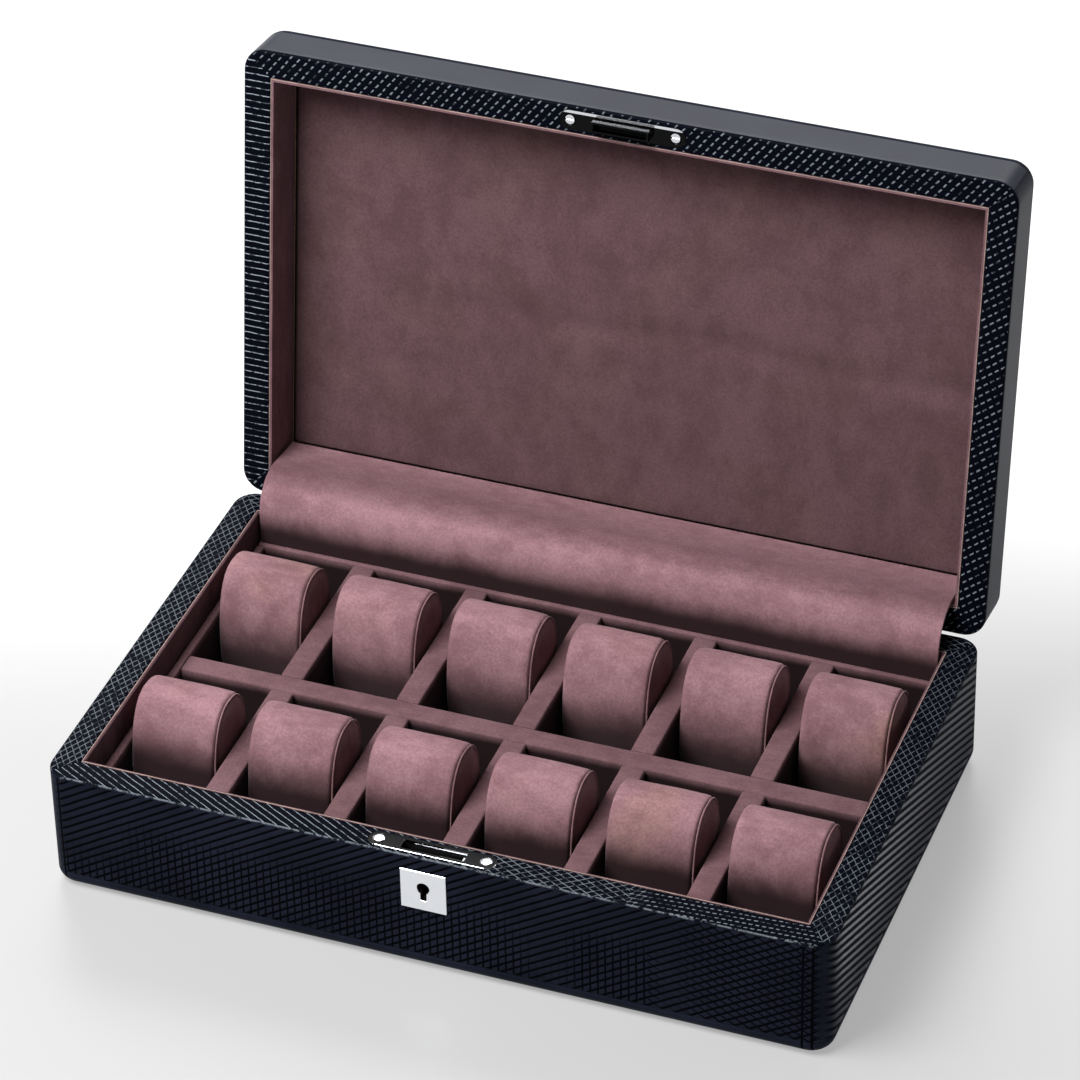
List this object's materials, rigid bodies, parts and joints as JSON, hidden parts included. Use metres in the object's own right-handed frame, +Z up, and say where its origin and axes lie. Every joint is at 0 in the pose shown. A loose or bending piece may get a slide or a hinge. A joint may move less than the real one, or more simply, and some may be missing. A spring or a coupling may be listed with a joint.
{
  "type": "watch storage box",
  "caption": "Lockable leather-wrapped watch storage box with a hinged lid, suede-lined compartments and lift-out cushions.",
  "frame": {"origin": "centre of the flat underside, on the surface that the box stands on", "axes": "+X along the width, -Y towards the front with the lock, +Z up"},
  "size_m": [0.34, 0.2695, 0.2683],
  "materials": {
    "leather_wrap": "navy-black leather embossed with a fine diamond lattice, satin",
    "case_wood": "unfinished board, hidden under the leather and lining",
    "underside_felt": "black felt",
    "cushion_suede": "dusty plum suede, soft nap",
    "lining_suede": "dusty plum suede, soft nap",
    "lock_chrome": "polished chrome",
    "lock_steel": "plain steel",
    "hinge_steel": "nickelled steel"
  },
  "bodies": {
    "case": {"base_back_board": "case_wood", "base_back_lining": "lining_suede", "base_floor_board": "case_wood", "base_front_board": "case_wood", "base_front_lining": "lining_suede", "base_leather_wrap": "leather_wrap", "base_left_board": "case_wood", "base_left_lining": "lining_suede", "base_right_board": "case_wood", "base_right_lining": "lining_suede", "base_underside_cover": "underside_felt", "hinge_gusset": "lining_suede", "hinge_left_base_leaf": "hinge_steel", "hinge_left_pin": "hinge_steel", "hinge_right_base_leaf": "hinge_steel", "hinge_right_pin": "hinge_steel", "lock_case": "lock_steel", "lock_escutcheon": "lock_chrome", "lock_face_plate": "lock_chrome", "lock_face_screw_left": "lock_steel", "lock_face_screw_right": "lock_steel", "lock_key_pin": "lock_steel", "tray_back_rail": "lining_suede", "tray_cross_divider_1": "lining_suede", "tray_cross_divider_2": "lining_suede", "tray_cross_divider_3": "lining_suede", "tray_cross_divider_4": "lining_suede", "tray_cross_divider_5": "lining_suede", "tray_floor": "lining_suede", "tray_front_rail": "lining_suede", "tray_left_rail": "lining_suede", "tray_long_divider": "lining_suede", "tray_right_rail": "lining_suede"},
    "lid": {"hinge_left_lid_leaf": "hinge_steel", "hinge_right_lid_leaf": "hinge_steel", "lid_back_board": "case_wood", "lid_front_board": "case_wood", "lid_leather_wrap": "leather_wrap", "lid_left_board": "case_wood", "lid_lining": "lining_suede", "lid_pad": "lining_suede", "lid_right_board": "case_wood", "lid_top_board": "case_wood", "strike_plate": "lock_chrome", "strike_screw_left": "lock_steel", "strike_screw_right": "lock_steel"},
    "lock_bolt": {"lock_bolt": "lock_steel"},
    "cushion_front_1": {"cushion_front_1": "cushion_suede"},
    "cushion_front_2": {"cushion_front_2": "cushion_suede"},
    "cushion_front_3": {"cushion_front_3": "cushion_suede"},
    "cushion_front_4": {"cushion_front_4": "cushion_suede"},
    "cushion_front_5": {"cushion_front_5": "cushion_suede"},
    "cushion_front_6": {"cushion_front_6": "cushion_suede"},
    "cushion_rear_1": {"cushion_rear_1": "cushion_suede"},
    "cushion_rear_2": {"cushion_rear_2": "cushion_suede"},
    "cushion_rear_3": {"cushion_rear_3": "cushion_suede"},
    "cushion_rear_4": {"cushion_rear_4": "cushion_suede"},
    "cushion_rear_5": {"cushion_rear_5": "cushion_suede"},
    "cushion_rear_6": {"cushion_rear_6": "cushion_suede"}
  },
  "joints": [
    {"name": "lid_hinge", "type": "hinge", "parent": "case", "child": "lid", "pos_m": [0, 0.1058, 0.05885], "axis": [-1, 0, 0], "range_deg": [-97.8, 0], "deforming": ["hinge_gusset"]},
    {"name": "lock_bolt_throw", "type": "slide", "parent": "case", "child": "lock_bolt", "axis": [-1, 0, 0], "range_m": [0, 0.0032]},
    {"name": "cushion_front_1_lift", "type": "slide", "parent": "case", "child": "cushion_front_1", "axis": [0, 0, 1], "range_m": [0, 0.06]},
    {"name": "cushion_front_2_lift", "type": "slide", "parent": "case", "child": "cushion_front_2", "axis": [0, 0, 1], "range_m": [0, 0.06]},
    {"name": "cushion_front_3_lift", "type": "slide", "parent": "case", "child": "cushion_front_3", "axis": [0, 0, 1], "range_m": [0, 0.06]},
    {"name": "cushion_front_4_lift", "type": "slide", "parent": "case", "child": "cushion_front_4", "axis": [0, 0, 1], "range_m": [0, 0.06]},
    {"name": "cushion_front_5_lift", "type": "slide", "parent": "case", "child": "cushion_front_5", "axis": [0, 0, 1], "range_m": [0, 0.06]},
    {"name": "cushion_front_6_lift", "type": "slide", "parent": "case", "child": "cushion_front_6", "axis": [0, 0, 1], "range_m": [0, 0.06]},
    {"name": "cushion_rear_1_lift", "type": "slide", "parent": "case", "child": "cushion_rear_1", "axis": [0, 0, 1], "range_m": [0, 0.06]},
    {"name": "cushion_rear_2_lift", "type": "slide", "parent": "case", "child": "cushion_rear_2", "axis": [0, 0, 1], "range_m": [0, 0.06]},
    {"name": "cushion_rear_3_lift", "type": "slide", "parent": "case", "child": "cushion_rear_3", "axis": [0, 0, 1], "range_m": [0, 0.06]},
    {"name": "cushion_rear_4_lift", "type": "slide", "parent": "case", "child": "cushion_rear_4", "axis": [0, 0, 1], "range_m": [0, 0.06]},
    {"name": "cushion_rear_5_lift", "type": "slide", "parent": "case", "child": "cushion_rear_5", "axis": [0, 0, 1], "range_m": [0, 0.06]},
    {"name": "cushion_rear_6_lift", "type": "slide", "parent": "case", "child": "cushion_rear_6", "axis": [0, 0, 1], "range_m": [0, 0.06]}
  ]
}
